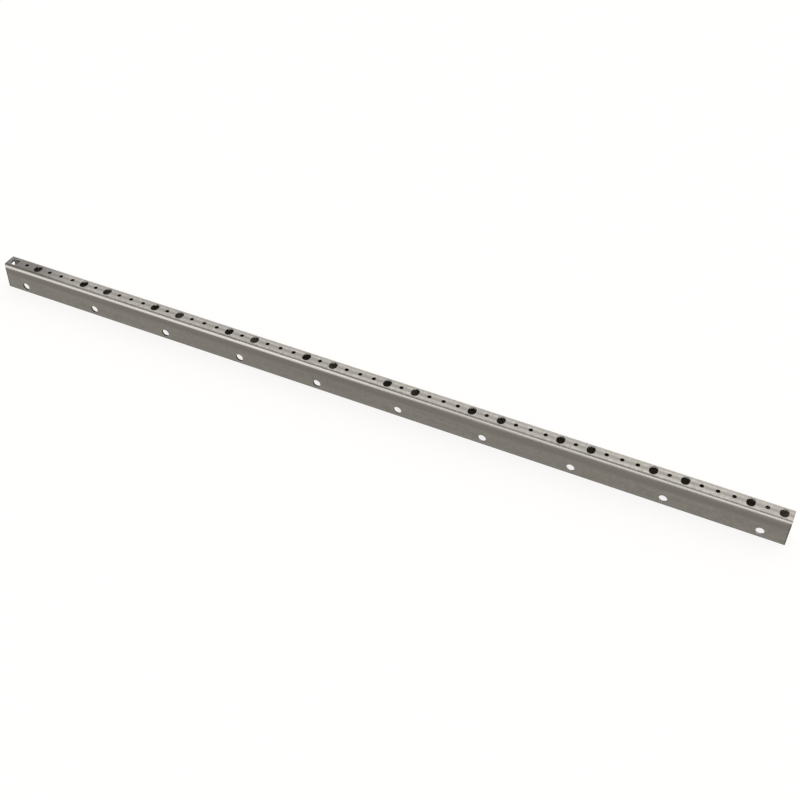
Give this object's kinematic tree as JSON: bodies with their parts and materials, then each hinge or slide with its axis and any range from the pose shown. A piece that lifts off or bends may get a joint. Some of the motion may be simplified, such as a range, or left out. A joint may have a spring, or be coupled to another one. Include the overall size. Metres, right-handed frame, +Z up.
{
  "type": "perforated mounting rail",
  "caption": "Long U-channel mounting rail folded from zinc-plated sheet steel, with round screw holes and oblong holes along its web and round side holes along one flange.",
  "frame": {"origin": "on the floor under the middle of the rail, between the two flange edges", "axes": "+X along the rail, +Y across it towards the plain flange, +Z up out of the web"},
  "size_m": [1.43, 0.028, 0.051],
  "materials": {
    "zinc_plated_steel": "zinc-plated cold-rolled sheet, satin, warm grey"
  },
  "bodies": {
    "root": {"rail": "zinc_plated_steel"}
  },
  "joints": []
}
